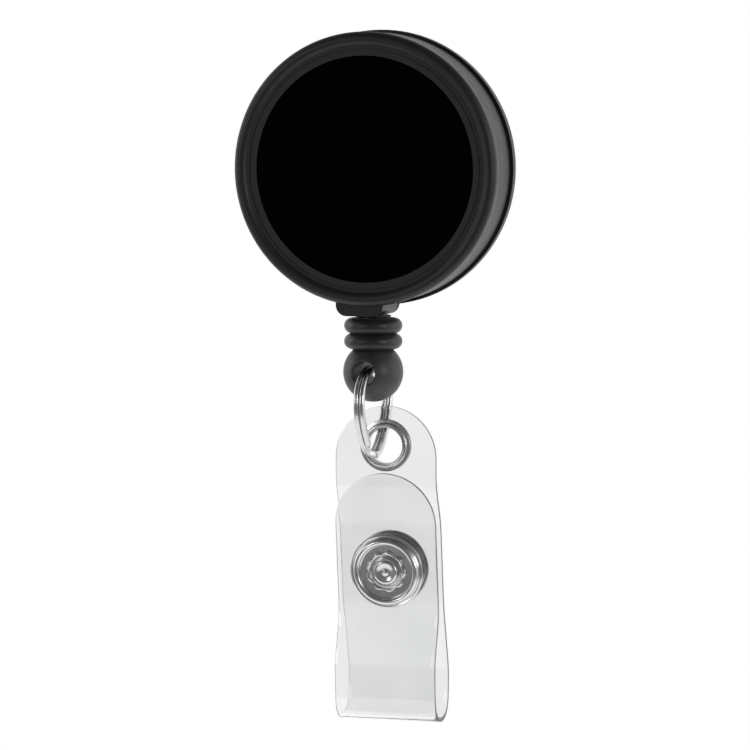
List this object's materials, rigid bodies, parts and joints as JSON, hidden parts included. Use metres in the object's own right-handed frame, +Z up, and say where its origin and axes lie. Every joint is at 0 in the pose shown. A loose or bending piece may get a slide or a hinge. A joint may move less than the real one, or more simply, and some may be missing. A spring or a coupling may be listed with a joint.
{
  "type": "retractable badge reel",
  "caption": "Round spring-wound cord reel with a slide belt clip; its cord carries a bead, split ring and a clear snap strap.",
  "frame": {"origin": "middle of the belt clip's gap, level with the spool's axle", "axes": "+Z up towards the clip's bend, -Y out of the label face, X across"},
  "size_m": [0.0324, 0.0156, 0.0823],
  "materials": {
    "shell": "moulded, satin",
    "label": "smooth, satin",
    "clip_steel": "nickel-plated spring steel",
    "spool_plastic": "moulded",
    "spring_steel": "tempered strip",
    "cord": "braided nylon",
    "rubber": "moulded, matt",
    "bead": "moulded, satin",
    "nickel": "nickel plate",
    "vinyl": "clear flexible sheet"
  },
  "bodies": {
    "housing": {"front_shell": "shell", "face_disc": "label", "rear_shell": "shell", "cord_outlet": "shell", "clip_base": "clip_steel", "clip_rivet": "clip_steel"},
    "clip_arm": {"clip_arm": "clip_steel"},
    "spool": {"spool": "spool_plastic", "spring_cover": "spool_plastic", "spiral_spring": "spring_steel", "wound_cord": "cord"},
    "cord_end": {"cord": "cord", "cord_knot": "cord"},
    "bead": {"bumper_ring_upper": "rubber", "bumper_ring_lower": "rubber", "ball_connector": "bead"},
    "ring": {"split_ring": "nickel"},
    "strap": {"strap_back": "vinyl", "eyelet": "nickel", "eyelet_washer": "nickel", "snap_rivet": "nickel", "snap_stud": "nickel"},
    "flap": {"strap_flap": "vinyl", "snap_socket": "nickel", "snap_ring": "nickel", "snap_post": "nickel"}
  },
  "joints": [
    {"name": "cord_pull", "type": "slide", "parent": "housing", "child": "cord_end", "axis": [0, 0, -1], "range_m": [0, 0.86], "stiffness_N_per_m": 0.5, "springref_m": -1, "deforming": ["cord"]},
    {"name": "spool_spin", "type": "hinge", "parent": "housing", "child": "spool", "pos_m": [0, -0.0072, 0], "axis": [0, -1, 0], "range_deg": [0, 5000]},
    {"name": "bead_turn", "type": "hinge", "parent": "cord_end", "child": "bead", "pos_m": [0, -0.0072, -0.0176], "axis": [0, 0, 1], "range_deg": [-180, 180]},
    {"name": "ring_swing", "type": "hinge", "parent": "bead", "child": "ring", "pos_m": [0, -0.0072, -0.024], "axis": [0, -1, 0], "range_deg": [-60, 60]},
    {"name": "strap_tilt", "type": "hinge", "parent": "ring", "child": "strap", "pos_m": [0, -0.0047, -0.0327], "axis": [1, 0, 0], "range_deg": [-5, 25]},
    {"name": "flap_open", "type": "hinge", "parent": "strap", "child": "flap", "pos_m": [0, -0.0024, -0.0658], "axis": [1, 0, 0], "range_deg": [0, 120]},
    {"name": "clip_flex", "type": "hinge", "parent": "housing", "child": "clip_arm", "pos_m": [0, 0, 0.013], "axis": [1, 0, 0], "range_deg": [0, 8], "stiffness_Nm_per_rad": 1}
  ],
  "couplings": [
    {"joint": "spool_spin", "follows": "cord_pull", "rad_per_m": 100}
  ]
}
